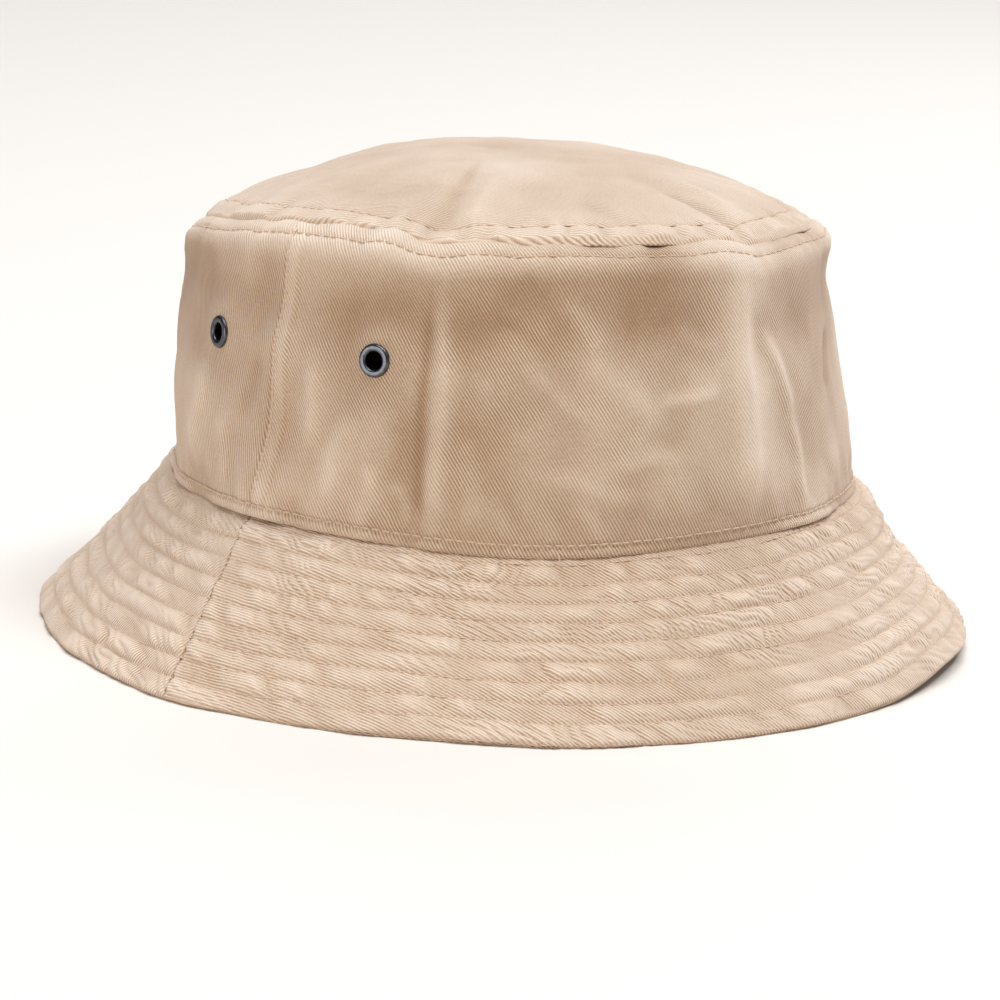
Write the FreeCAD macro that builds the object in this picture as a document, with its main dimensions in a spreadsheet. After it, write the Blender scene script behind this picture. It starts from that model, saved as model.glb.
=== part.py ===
"""Bucket hat of washed cotton twill, size L/XL, as a parametric FreeCAD document in millimetres.

The hat stands on its brim edge: +Z is up, the front faces -Y, and the origin is on the floor under the
middle of the crown. Every level of the hat is an oval, long in Y and narrow in X. A level is given by its
height and its inset, which is how far it lies inside the outer oval of the crown's base seam. A negative
inset lies outside that oval, as the brim does. Depth is measured inward from an outer face.
"""

import FreeCAD
import Part
import Sketcher
import math
import os

App = FreeCAD
doc = App.newDocument("BucketHat")

# ---------------------------------------------------------------------------------------------------------
# Driving dimensions
# ---------------------------------------------------------------------------------------------------------
SIZES = {
    "base_half_length": 102.5,  # outer oval of the crown's base seam, along Y
    "base_half_width": 90.5,  # the same oval, along X
    "base_height": 41.2,  # height of the seam between crown and brim
    "brim_reach": 36.8,  # how far the brim edge lies outside the base oval
    "wall_foot_height": 41.8,  # folded lower edge of the crown's side
    "wall_top_height": 109.0,  # where the side starts to round over
    "wall_lean": 6.0,  # inset of the side at that height
    "rim_radius": 10.0,  # rounding from the side to the tip seam
    "tip_height": 27.5,  # half height of the ellipsoid that the tip is a cap of
    "tip_share": 0.9,  # tip seam oval as a share of that ellipsoid's middle
    "cloth": 0.6,  # washed twill
    "tape": 0.4,  # binding tape and labels
    "stiffener": 0.5,  # interlining of the brim
    "interlining_start": 0.06,  # its edges, as shares of the slope up from the brim edge
    "interlining_end": 0.94,
    "layer_gap": 0.1,  # air between neighbouring layers
    "slant": 1.345,  # level thickness of a layer on the brim's slope, over its true thickness
    "seam_inset": 0.8,  # how far the brim lies inside the base oval at the seam
    "allowance": 8.0,  # seam allowance of the brim, turned up inside the crown
    "panel_gap": 0.1,  # between the front and back panels at the side seams
    "band_inset": 2.35,  # sweatband's outer face
    "band_foot_height": 42.3,
    "band_top_height": 74.0,
    "band_stitch_drop": 3.0,  # hem stitch below the sweatband's top edge
    "thread_width": 0.4,
    "thread_thickness": 0.2,
    "edge_margin": 6.5,  # first row of brim stitching from the edge, down the slope
    "row_pitch": 5.9,  # from one row of brim stitching to the next
    "slope_length": 55.8,  # from the brim edge to the base seam, down the slope
    "base_stitch_rise": 2.8,  # topstitch above the folded lower edge of the crown
    "tip_stitch_share": 0.835,  # topstitch on the tip, as a share of the ellipsoid's middle
    "seam_tape_width": 14.0,
    "seam_tape_top": 107.0,
    "eyelet_height": 87.4,
    "hole_radius": 2.4,  # clear hole of an eyelet
    "barrel_radius": 2.7,
    "flange_radius": 4.4,
    "flange_seat": 0.1,  # underside of the flange above the wall
    "flange_top": 0.95,
    "flange_roll": 0.75,  # rounding of the flange's two upper edges
    "washer_radius": 4.2,
    "washer_bore": 2.8,
    "washer_top": 0.8,  # depth of the washer's upper face under the wall's outer face
    "washer_thickness": 0.4,
    "lip_radius": 3.4,  # the barrel's end, rolled over the washer
    "lip_thickness": 0.4,
    "size_label_width": 30.0,
    "size_label_foot": 50.0,
    "size_label_top": 67.0,
    "care_label_width": 22.0,
    "care_label_drop": 30.0,
    "care_label_top": 71.0,  # height of its sewn edge, the axis it swings about
    "care_label_inset": 7.6,  # how far that axis lies inside the base oval
}
DERIVED = {
    "care_label_half_width": "=care_label_width / 2",
    "washer_bottom": "=washer_top + washer_thickness",
    "lip_top": "=washer_bottom + layer_gap",
    "lip_bottom": "=lip_top + lip_thickness",
}
BRIM_ROWS = 9
EYELET_ANGLES = {"front": -21.5, "back": 13.0}  # from the side seams, in degrees of the oval's parameter
RIM_STEPS = 5  # facets of the rounding
RIM_SWEEP = 65.0  # degrees of the rounding that belong to the side
TAPE_START = 22.0  # angle of the rounding where the tip seam's tape starts
SIDE_STITCH_ANGLE = 39.0  # topstitch under the tip seam, as an angle of the rounding
SEAM_STITCH_ANGLE = -0.8  # topstitch in front of each side seam, in degrees of the oval's parameter
SIDES = {"left": -1, "right": 1}  # sign of X
UP = App.Vector(0, 0, 1)
SPACE = 400  # side of the boxes that stand for half of all space
NUDGE = 0.5  # step in degrees or millimetres for the directions of a surface
PAST = 4.0  # how far a cutting solid runs past the piece it cuts

sheet = doc.addObject("Spreadsheet::Sheet", "Sizes")
for row, (alias, value) in enumerate({**SIZES, **DERIVED}.items(), start=1):
    sheet.set("A%d" % row, alias)
    sheet.set("B%d" % row, str(value))
    sheet.setAlias("B%d" % row, alias)
doc.recompute()


def size(alias):
    """A driving dimension's value, for what is worked out in code."""
    return float(sheet.get(alias))


# ---------------------------------------------------------------------------------------------------------
# Levels: pairs of expressions, a height and an inset
# ---------------------------------------------------------------------------------------------------------
def rim_level(angle, depth="0"):
    """On the rounding, at an angle up from the side."""
    radius = "(Sizes.rim_radius - %s)" % depth
    rise, run = math.sin(math.radians(angle)), math.cos(math.radians(angle))
    height = "Sizes.wall_top_height + %s * %.5f" % (radius, rise)
    inset = "Sizes.wall_lean + Sizes.rim_radius - %s * %.5f" % (radius, run)
    return height, inset


def rim_levels(start, depth="0"):
    """The rounding as a chain of levels, from an angle to the tip seam."""
    turn = (RIM_SWEEP - start) / RIM_STEPS
    return [rim_level(start + turn * step, depth) for step in range(RIM_STEPS + 1)]


def wall_level(height, depth="0"):
    """On the side of the crown, at a height."""
    rise = "(Sizes.wall_top_height - Sizes.wall_foot_height)"
    inset = "Sizes.wall_lean * (%s - Sizes.wall_foot_height) / %s + %s" % (height, rise, depth)
    return height, inset


def moved(level, distance, angle):
    """A level moved along a line that leans inward from the vertical by an angle."""
    height, inset = level
    rise = distance * math.cos(math.radians(angle))
    run = distance * math.sin(math.radians(angle))
    return "%s + %.5f" % (height, rise), "%s + %.5f" % (inset, run)


def carried_past(levels, foot_angle=0, top_angle=0):
    """A chain for a cutting solid, which runs past both ends of the piece it cuts."""
    foot = moved(levels[0], -PAST, foot_angle)
    top = moved(levels[-1], PAST, top_angle)
    return [foot] + levels + [top]


def brim_level(share, depth="0"):
    """On the brim's slope: share 0 is the edge and share 1 the base seam. Depth is level here."""
    height = "Sizes.base_height * (%s)" % share
    inset = "-Sizes.brim_reach + (Sizes.brim_reach + Sizes.seam_inset) * (%s) + %s" % (share, depth)
    return height, inset


def slope_lean():
    """How far the brim's slope leans inward from the vertical, in degrees."""
    return math.degrees(math.atan2(size("brim_reach") + size("seam_inset"), size("base_height")))


def brim_levels(slope_depth, turned_depth):
    """A brim layer's face: up the slope, then turned up inside the crown as the seam allowance."""
    bend = "1 + (%s - (%s)) / (Sizes.brim_reach + Sizes.seam_inset)" % (turned_depth, slope_depth)
    top = "(Sizes.base_height + Sizes.allowance)"
    turned = "Sizes.seam_inset + %s" % turned_depth
    return [brim_level("0", slope_depth), brim_level(bend, slope_depth), wall_level(top, turned)]


# ---------------------------------------------------------------------------------------------------------
# Building blocks
# ---------------------------------------------------------------------------------------------------------


def oval(name, level):
    """The outline of the hat on a level, long in Y."""
    height, inset = level
    ring = doc.addObject("Part::Ellipse", name)
    ring.Placement = App.Placement(App.Vector(), App.Rotation(UP, 90))
    ring.setExpression("MajorRadius", "Sizes.base_half_length - (%s)" % inset)
    ring.setExpression("MinorRadius", "Sizes.base_half_width - (%s)" % inset)
    ring.setExpression(".Placement.Base.z", height)
    return ring


def stack(name, levels):
    """A solid through a chain of ovals, straight from each one to the next."""
    loft = doc.addObject("Part::Loft", name)
    loft.Sections = [oval("%s_level_%d" % (name, i), level) for i, level in enumerate(levels, start=1)]
    loft.Solid = True
    loft.Ruled = True
    return loft


def boolean(kind, name, base, tool):
    result = doc.addObject(kind, name)
    result.Base = base
    result.Tool = tool
    result.Refine = False
    return result


def shell(name, outside, inside):
    """What lies between two chains of ovals."""
    outer = stack(name + "_outside", outside)
    inner = stack(name + "_inside", inside)
    return boolean("Part::Cut", name, outer, inner)


def box(name, length, width, height, corner):
    """A box from three expressions for its sides and three for its lowest corner."""
    block = doc.addObject("Part::Box", name)
    for side, value in zip(("Length", "Width", "Height"), (length, width, height)):
        block.setExpression(side, value)
    for axis, value in zip("xyz", corner):
        block.setExpression(".Placement.Base.%s" % axis, value)
    return block


def panel(name, whole, end):
    """The front or the back half of a piece that runs all round."""
    nearest = "-%d - Sizes.panel_gap / 2" % SPACE if end == "front" else "Sizes.panel_gap / 2"
    corner = ("-%d" % (SPACE / 2), nearest, "-%d" % (SPACE / 2))
    space = box(name + "_space", str(SPACE), str(SPACE), str(SPACE), corner)
    return boolean("Part::Common", name, whole, space)


def group(name, members):
    compound = doc.addObject("Part::Compound", name)
    compound.Links = members
    return compound


def ring_thread(name, level, lean=0):
    """A thread all round the hat, as a flat band that leans inward from the vertical by an angle."""
    half_width = size("thread_width") / 2
    inside = (level[0], "%s + Sizes.thread_thickness / %.5f" % (level[1], math.cos(math.radians(lean))))
    ends = (-half_width, half_width)
    outer_levels = [moved(level, distance, lean) for distance in ends]
    inner_levels = [moved(inside, distance, lean) for distance in ends]
    return shell(name, outer_levels, carried_past(inner_levels, lean, lean))


# ---------------------------------------------------------------------------------------------------------
# Places on the side of the crown
# ---------------------------------------------------------------------------------------------------------
def wall_point(side, angle, height, depth=0.0):
    """A point of the wall, at an angle behind the side seam of one side."""
    share = (height - size("wall_foot_height")) / (size("wall_top_height") - size("wall_foot_height"))
    inset = size("wall_lean") * share + depth
    turn = math.radians(angle)
    x = (size("base_half_width") - inset) * math.cos(turn)
    y = (size("base_half_length") - inset) * math.sin(turn)
    return App.Vector(SIDES[side] * x, y, height)


def wall_frame(side, angle, height):
    """A placement on the wall with its Z axis along the outward normal and its Y axis up the wall."""
    back = wall_point(side, angle + NUDGE, height) - wall_point(side, angle - NUDGE, height)
    upward = wall_point(side, angle, height + NUDGE) - wall_point(side, angle, height - NUDGE)
    normal = back.cross(upward) * SIDES[side]
    turn = App.Rotation(upward.cross(normal), upward, normal, "ZYX")
    return App.Placement(wall_point(side, angle, height), turn)


def straight_thread(name, start, end):
    thread = doc.addObject("Part::Cylinder", name)
    thread.setExpression("Radius", "Sizes.thread_width / 2")
    thread.Height = (end - start).Length
    thread.Placement = App.Placement(start, App.Rotation(UP, end - start))
    return thread


# ---------------------------------------------------------------------------------------------------------
# Sketched bodies
# ---------------------------------------------------------------------------------------------------------
def body_with_sketch(name, role):
    """A body and an empty sketch on one of its own base planes."""
    body = doc.addObject("PartDesign::Body", name)
    plane = next(feature for feature in body.Origin.OriginFeatures if feature.Role == role)
    sketch = body.newObject("Sketcher::SketchObject", name + "_sketch")
    sketch.AttachmentSupport = [(plane, "")]
    sketch.MapMode = "FlatFace"
    return body, sketch


def fix_point(sketch, edge, vertex, corner):
    """Holds a point of an edge at two cells' values. A corner is a pair of (sign, alias)."""
    for kind, (sign, alias) in zip(("DistanceX", "DistanceY"), corner):
        value = sign * size(alias)
        index = sketch.addConstraint(Sketcher.Constraint(kind, -1, 1, edge, vertex, value))
        sketch.setExpression("Constraints[%d]" % index, "%d * Sizes.%s" % (sign, alias))


def draw_outline(sketch, corners):
    """A closed outline of straight lines through corners that follow cells."""
    places = [App.Vector(a * size(x), b * size(y), 0) for (a, x), (b, y) in corners]
    count = len(places)
    for i in range(count):
        sketch.addGeometry(Part.LineSegment(places[i], places[(i + 1) % count]), False)
    for i in range(count):
        fix_point(sketch, i, 1, corners[i])
        sketch.addConstraint(Sketcher.Constraint("Coincident", i, 2, (i + 1) % count, 1))


def revolved(name, corners):
    """A body turned about its Z axis, from an outline in radius and height."""
    body, sketch = body_with_sketch(name, "XZ_Plane")
    draw_outline(sketch, corners)
    turned = body.newObject("PartDesign::Revolution", name + "_turned")
    turned.Profile = sketch
    turned.ReferenceAxis = (sketch, ["V_Axis"])
    turned.Angle = 360
    return body, turned


# ---------------------------------------------------------------------------------------------------------
# Crown
# ---------------------------------------------------------------------------------------------------------
def eyelet_hole(side, end):
    """A cutter for one eyelet's hole in the wall."""
    hole = doc.addObject("Part::Cylinder", "eyelet_hole_%s_%s" % (side, end))
    hole.setExpression("Radius", "Sizes.barrel_radius + Sizes.layer_gap")
    hole.Height = 2 * PAST
    place = wall_frame(side, EYELET_ANGLES[end], size("eyelet_height"))
    hole.Placement = place.multiply(App.Placement(App.Vector(0, 0, -PAST), App.Rotation()))
    return hole


def crown_side():
    """The wall of the crown with its rounding, as a front and a back panel."""
    outside = [wall_level("Sizes.wall_foot_height")] + rim_levels(0)
    inside = [wall_level("Sizes.wall_foot_height", "Sizes.cloth")] + rim_levels(0, "Sizes.cloth")
    cloth = shell("crown_side_cloth", outside, carried_past(inside, 0, RIM_SWEEP))
    holes = [eyelet_hole(side, end) for side in SIDES for end in EYELET_ANGLES]
    whole = boolean("Part::Cut", "crown_side", cloth, group("eyelet_holes", holes))
    return [panel("crown_side_" + end, whole, end) for end in ("front", "back")]


def tip_cap(name, depth, sunk):
    """The cap of an ellipsoid whose foot meets the rounding at the tip seam."""
    seam_height, seam_inset = rim_level(RIM_SWEEP)
    cap = doc.addObject("Part::Ellipsoid", name)
    cap.setExpression("Radius1", "Sizes.tip_height - %s" % depth)
    for radius, half in (("Radius2", "base_half_width"), ("Radius3", "base_half_length")):
        reach = "(Sizes.%s - (%s)) / Sizes.tip_share" % (half, seam_inset)
        cap.setExpression(radius, "%s - %s" % (reach, depth))
    cap.setExpression("Angle1", "0deg" if sunk else "acos(Sizes.tip_share)")
    foot = "Sizes.tip_height * sqrt(1 - Sizes.tip_share ^ 2)"
    cap.setExpression(".Placement.Base.z", "%s + Sizes.layer_gap - %s" % (seam_height, foot))
    return cap


def crown_tip():
    """The domed top panel."""
    upper = tip_cap("tip_top", "0", False)
    under = tip_cap("tip_under", "Sizes.cloth", True)
    return boolean("Part::Cut", "crown_tip", upper, under)


def tip_seam_tape():
    """Binding inside the crown, over the allowances of the tip seam."""
    outside = rim_levels(TAPE_START, "(Sizes.cloth + 2 * Sizes.layer_gap)")
    inside = rim_levels(TAPE_START, "(Sizes.cloth + 2 * Sizes.layer_gap + Sizes.tape)")
    return shell("tip_seam_tape", outside, carried_past(inside, TAPE_START, RIM_SWEEP))


def side_seam_tape(side):
    """Binding inside the crown, over the allowances of one side seam."""
    depth = "(Sizes.cloth + Sizes.layer_gap)"
    foot, top = "(Sizes.band_top_height + 1)", "Sizes.seam_tape_top"
    outside = [wall_level(foot, depth), wall_level(top, depth)]
    inner_depth = depth + " + Sizes.tape"
    inside = [wall_level(foot, inner_depth), wall_level(top, inner_depth)]
    name = "side_seam_tape_" + side
    whole = shell(name + "_ring", outside, carried_past(inside))
    corner = ("0" if side == "right" else str(-SPACE), "-Sizes.seam_tape_width / 2", "0")
    strip = box(name + "_strip", str(SPACE), "Sizes.seam_tape_width", str(SPACE), corner)
    return boolean("Part::Common", name, whole, strip)


# ---------------------------------------------------------------------------------------------------------
# Brim and sweatband
# ---------------------------------------------------------------------------------------------------------
def brim_layer(name, slope_depth, turned_depth):
    """A cloth layer of the brim with its turned-up allowance, as a front and a back panel."""
    outside = brim_levels(slope_depth, turned_depth)
    inside = brim_levels(
        slope_depth + " + Sizes.cloth * Sizes.slant",
        turned_depth + " + Sizes.cloth",
    )
    whole = shell(name, outside, carried_past(inside))
    return [panel("%s_%s" % (name, end), whole, end) for end in ("front", "back")]


def brim_interlining():
    """The stiffening layer between the brim's two cloths, clear of the edge and of the base seam."""
    outer_depth = "(Sizes.cloth + Sizes.layer_gap) * Sizes.slant"
    inner_depth = outer_depth + " + Sizes.stiffener * Sizes.slant"
    shares = ("Sizes.interlining_start", "Sizes.interlining_end")
    outside = [brim_level(share, outer_depth) for share in shares]
    inside = [brim_level(share, inner_depth) for share in shares]
    whole = shell("brim_interlining", outside, carried_past(inside, slope_lean(), slope_lean()))
    return [panel("brim_interlining_" + end, whole, end) for end in ("front", "back")]


def under_brim():
    """The brim's lower cloth."""
    slope_depth = "(Sizes.cloth + Sizes.stiffener + 2 * Sizes.layer_gap) * Sizes.slant"
    return brim_layer("brim_lower", slope_depth, "(Sizes.cloth + Sizes.layer_gap)")


def sweatband():
    """The band round the head, inside the crown."""
    heights = ("Sizes.band_foot_height", "Sizes.band_top_height")
    outside = [wall_level(height, "Sizes.band_inset") for height in heights]
    inside = [wall_level(height, "Sizes.band_inset + Sizes.cloth") for height in heights]
    return shell("sweatband", outside, carried_past(inside))


# ---------------------------------------------------------------------------------------------------------
# Stitching
# ---------------------------------------------------------------------------------------------------------
OUT = "(Sizes.thread_thickness + Sizes.layer_gap)"  # from a cloth's face to a thread's outer face


def brim_stitch_row(index):
    """One row of stitching through the brim: a top thread and a bobbin thread."""
    share = "(Sizes.edge_margin + %d * Sizes.row_pitch) / Sizes.slope_length" % (index - 1)
    layers = "(2 * Sizes.cloth + Sizes.stiffener + 3 * Sizes.layer_gap)"
    name = "brim_stitch_row_%d" % index
    top = ring_thread(name + "_top", brim_level(share, "-%s * Sizes.slant" % OUT), slope_lean())
    bobbin = ring_thread(name + "_bobbin", brim_level(share, layers + " * Sizes.slant"), slope_lean())
    return group(name, [top, bobbin])


def crown_base_topstitch():
    """The row that holds the crown's folded foot, the brim and the sweatband together."""
    height = "(Sizes.wall_foot_height + Sizes.base_stitch_rise)"
    outer = ring_thread("crown_base_topstitch_outer", wall_level(height, "-" + OUT))
    depth = "Sizes.band_inset + Sizes.cloth + Sizes.layer_gap"
    inner = ring_thread("crown_base_topstitch_inner", wall_level(height, depth))
    return group("crown_base_topstitch", [outer, inner])


def tip_topstitch():
    """The row on the tip, behind its seam."""
    seam_height, seam_inset = rim_level(RIM_SWEEP)
    share = "Sizes.tip_stitch_share"
    foot = "Sizes.tip_height * sqrt(1 - Sizes.tip_share ^ 2)"
    rise = "Sizes.tip_height * sqrt(1 - %s ^ 2) + Sizes.layer_gap" % share
    height = "%s - %s + %s + 2 * %s" % (seam_height, foot, rise, OUT)
    seam_half_width = "(Sizes.base_half_width - (%s))" % seam_inset
    inset = "(%s) + %s * (1 - %s / Sizes.tip_share)" % (seam_inset, seam_half_width, share)
    return ring_thread("tip_topstitch", (height, inset), RIM_SWEEP)


def side_topstitch():
    """The row on the rounding, below the tip seam."""
    return ring_thread("side_topstitch", rim_level(SIDE_STITCH_ANGLE, "-" + OUT), SIDE_STITCH_ANGLE)


def sweatband_hem_stitch():
    """The row along the sweatband's top edge."""
    height = "(Sizes.band_top_height - Sizes.band_stitch_drop)"
    depth = "Sizes.band_inset + Sizes.cloth + Sizes.layer_gap"
    return ring_thread("sweatband_hem_stitch", wall_level(height, depth))


def side_seam_topstitch(side):
    """The row beside one of the crown's side seams."""
    off_cloth = size("thread_width") / 2 + size("layer_gap")
    foot = size("wall_foot_height") + 2 * size("base_stitch_rise")
    start = wall_point(side, SEAM_STITCH_ANGLE, foot, -off_cloth)
    end = wall_point(side, SEAM_STITCH_ANGLE, size("wall_top_height"), -off_cloth)
    return straight_thread("side_seam_topstitch_" + side, start, end)


# ---------------------------------------------------------------------------------------------------------
# Eyelets
# ---------------------------------------------------------------------------------------------------------
def top_edges(feature, height):
    """Names of a turned feature's round edges at a height."""
    names = []
    for index, edge in enumerate(feature.Shape.Edges, start=1):
        if abs(edge.BoundBox.ZMin - height) < 0.001 and abs(edge.BoundBox.ZMax - height) < 0.001:
            names.append("Edge%d" % index)
    return names


def eyelet(side, end):
    """A set eyelet: rolled flange outside, barrel through the wall, and its end rolled over the washer."""
    corners = [
        ((1, "hole_radius"), (-1, "lip_bottom")),
        ((1, "lip_radius"), (-1, "lip_bottom")),
        ((1, "lip_radius"), (-1, "lip_top")),
        ((1, "barrel_radius"), (-1, "lip_top")),
        ((1, "barrel_radius"), (1, "flange_seat")),
        ((1, "flange_radius"), (1, "flange_seat")),
        ((1, "flange_radius"), (1, "flange_top")),
        ((1, "hole_radius"), (1, "flange_top")),
    ]
    name = "eyelet_%s_%s" % (side, end)
    body, turned = revolved(name, corners)
    doc.recompute()
    rolled = body.newObject("PartDesign::Fillet", name + "_rolled")
    rolled.Base = (turned, top_edges(turned, size("flange_top")))
    rolled.setExpression("Radius", "Sizes.flange_roll")
    body.Tip = rolled
    body.Placement = wall_frame(side, EYELET_ANGLES[end], size("eyelet_height"))
    return body


def eyelet_washer(side, end):
    """The flat ring that the eyelet is closed against, inside the crown."""
    corners = [
        ((1, "washer_bore"), (-1, "washer_bottom")),
        ((1, "washer_radius"), (-1, "washer_bottom")),
        ((1, "washer_radius"), (-1, "washer_top")),
        ((1, "washer_bore"), (-1, "washer_top")),
    ]
    body, turned = revolved("eyelet_washer_%s_%s" % (side, end), corners)
    body.Placement = wall_frame(side, EYELET_ANGLES[end], size("eyelet_height"))
    return body


# ---------------------------------------------------------------------------------------------------------
# Labels
# ---------------------------------------------------------------------------------------------------------
def size_label():
    """A blank label sewn flat on the sweatband at the middle of the back."""
    heights = ("Sizes.size_label_foot", "Sizes.size_label_top")
    depth = "Sizes.band_inset + Sizes.cloth + Sizes.layer_gap"
    outside = [wall_level(height, depth) for height in heights]
    inside = [wall_level(height, depth + " + Sizes.tape") for height in heights]
    whole = shell("size_label_ring", outside, carried_past(inside))
    strip = box(
        "size_label_strip",
        "Sizes.size_label_width",
        str(SPACE),
        str(SPACE),
        ("-Sizes.size_label_width / 2", "0", "0"),
    )
    return boolean("Part::Common", "size_label", whole, strip)


def care_label():
    """A flap caught by its top edge at the right side seam, which hangs inside the sweatband."""
    body, sketch = body_with_sketch("care_label", "YZ_Plane")
    corners = [
        ((-1, "care_label_half_width"), (-1, "care_label_drop")),
        ((1, "care_label_half_width"), (-1, "care_label_drop")),
        ((1, "care_label_half_width"), (1, "layer_gap")),
        ((-1, "care_label_half_width"), (1, "layer_gap")),
    ]
    draw_outline(sketch, corners)
    flap = body.newObject("PartDesign::Pad", "care_label_flap")
    flap.Profile = sketch
    flap.Midplane = True
    flap.setExpression("Length", "Sizes.tape")
    body.setExpression(".Placement.Base.x", "Sizes.base_half_width - Sizes.care_label_inset")
    body.setExpression(".Placement.Base.z", "Sizes.care_label_top")
    return body


# ---------------------------------------------------------------------------------------------------------
# The hat
# ---------------------------------------------------------------------------------------------------------
def build():
    """Every sub-part of the hat, in the order it is sewn."""
    places = [(side, end) for side in SIDES for end in EYELET_ANGLES]
    subparts = [crown_tip()] + crown_side()
    subparts += brim_layer("brim_upper", "0", "0") + under_brim() + brim_interlining()
    subparts += [sweatband(), tip_seam_tape()]
    subparts += [side_seam_tape(side) for side in SIDES]
    subparts += [brim_stitch_row(index) for index in range(1, BRIM_ROWS + 1)]
    subparts += [crown_base_topstitch(), tip_topstitch(), side_topstitch(), sweatband_hem_stitch()]
    subparts += [side_seam_topstitch(side) for side in SIDES]
    subparts += [eyelet(*place) for place in places]
    subparts += [eyelet_washer(*place) for place in places]
    subparts += [size_label(), care_label()]
    return subparts


def check(subparts):
    """Stops at the first object that FreeCAD couldn't make."""
    for feature in doc.Objects:
        if "Invalid" in feature.State or "Error" in feature.State:
            raise RuntimeError("%s: %s" % (feature.Label, feature.State))
    for subpart in subparts:
        if subpart.Shape.isNull() or not subpart.Shape.isValid() or not subpart.Shape.Solids:
            raise RuntimeError(subpart.Label + " isn't a valid solid")


subparts = build()
doc.recompute()
check(subparts)
os.makedirs("parts", exist_ok=True)
for subpart in subparts:
    subpart.Shape.exportStep("parts/%s.step" % subpart.Label)
print("wrote", len(subparts), "sub-parts")
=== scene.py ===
"""The looks of the bucket hat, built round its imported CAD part.

The cloth is built as sheets that follow the CAD's faces, settled, puckered and creased as washed twill is.
Lengths are in millimetres inside the script, and turn into metres where a mesh or an object is made. A place
on the hat is given by its turn, which is the parameter of the hat's oval in radians (0 at the right side
seam, half a turn at the left one), and by how far along the cloth it is, in millimetres up from its foot.
"""

import math

import bpy
import numpy as np
from mathutils import Matrix, Vector

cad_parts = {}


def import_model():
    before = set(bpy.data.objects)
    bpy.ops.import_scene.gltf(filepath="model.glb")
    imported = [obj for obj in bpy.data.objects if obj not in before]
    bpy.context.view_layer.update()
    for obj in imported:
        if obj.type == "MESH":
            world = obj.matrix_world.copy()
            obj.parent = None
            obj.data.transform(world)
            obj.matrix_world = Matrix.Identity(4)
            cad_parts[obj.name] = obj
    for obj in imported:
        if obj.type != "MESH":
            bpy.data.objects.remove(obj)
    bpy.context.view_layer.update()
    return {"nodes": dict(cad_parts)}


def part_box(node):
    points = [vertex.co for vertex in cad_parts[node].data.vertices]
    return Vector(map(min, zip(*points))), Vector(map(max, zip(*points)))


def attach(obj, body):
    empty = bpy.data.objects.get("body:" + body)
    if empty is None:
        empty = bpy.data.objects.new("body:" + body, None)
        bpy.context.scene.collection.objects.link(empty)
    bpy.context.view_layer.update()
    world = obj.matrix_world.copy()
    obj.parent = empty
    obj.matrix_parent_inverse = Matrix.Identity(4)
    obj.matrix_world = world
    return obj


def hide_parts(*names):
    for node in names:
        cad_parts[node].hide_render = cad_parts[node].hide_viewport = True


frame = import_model()
MM = 0.001
QUARTER, HALF, WHOLE = math.pi / 2, math.pi, 2 * math.pi


# ---- Camera ----
CAMERA_AZIMUTH = -44.0
CAMERA_ELEVATION = 12.9
CAMERA_ROLL = 0.8
CAMERA_DISTANCE = 950.0
CAMERA_AIM_HEIGHT = 32.3
CAMERA_LENS = 119.9


def direction(azimuth, elevation):
    """The way from the hat to a camera or a lamp, from two angles in degrees."""
    around, above = math.radians(azimuth), math.radians(elevation)
    level = Vector((math.sin(around), -math.cos(around), 0)) * math.cos(above)
    return level + Vector((0, 0, math.sin(above)))


def make_camera():
    """The photograph's view: a long lens, a little above the brim, from the hat's front left."""
    data = bpy.data.cameras.new("Camera")
    data.lens = CAMERA_LENS
    data.sensor_width = 36
    camera = bpy.data.objects.new("Camera", data)
    bpy.context.collection.objects.link(camera)
    back = direction(CAMERA_AZIMUTH, CAMERA_ELEVATION)
    right = Vector((0, 0, 1)).cross(back).normalized()
    up = back.cross(right)
    turn = Matrix((right, up, back)).transposed().to_4x4()
    roll = Matrix.Rotation(math.radians(CAMERA_ROLL), 4, "Z")
    aim = Vector((0, 0, CAMERA_AIM_HEIGHT))
    camera.matrix_world = Matrix.Translation((aim + back * CAMERA_DISTANCE) * MM) @ turn @ roll
    bpy.context.scene.camera = camera


make_camera()


# ---- Sizes, in millimetres; the outer ones come from the CAD's boxes ----
def cad_box(node):
    low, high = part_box(node)
    return np.array(low) / MM, np.array(high) / MM


wall_low, wall_high = cad_box("crown_side_back")
_, brim_high = cad_box("brim_upper_back")
tip_low, tip_high = cad_box("crown_tip")
band_low, band_high = cad_box("sweatband")
HALF_WIDTH, HALF_LENGTH = wall_high[:2]
FOLD_HEIGHT = wall_low[2]
REACH = brim_high[0] - HALF_WIDTH
TIP_SEAM_HEIGHT = tip_low[2]
TIP_RISE = tip_high[2] - tip_low[2]
TIP_HALF_WIDTH, TIP_HALF_LENGTH = tip_high[0], tip_high[1]
BAND_FOOT, BAND_TOP = band_low[2] - FOLD_HEIGHT, band_high[2] - FOLD_HEIGHT  # up the crown's cloth
MEAN_RADIUS = (HALF_WIDTH + HALF_LENGTH) / 2

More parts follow.
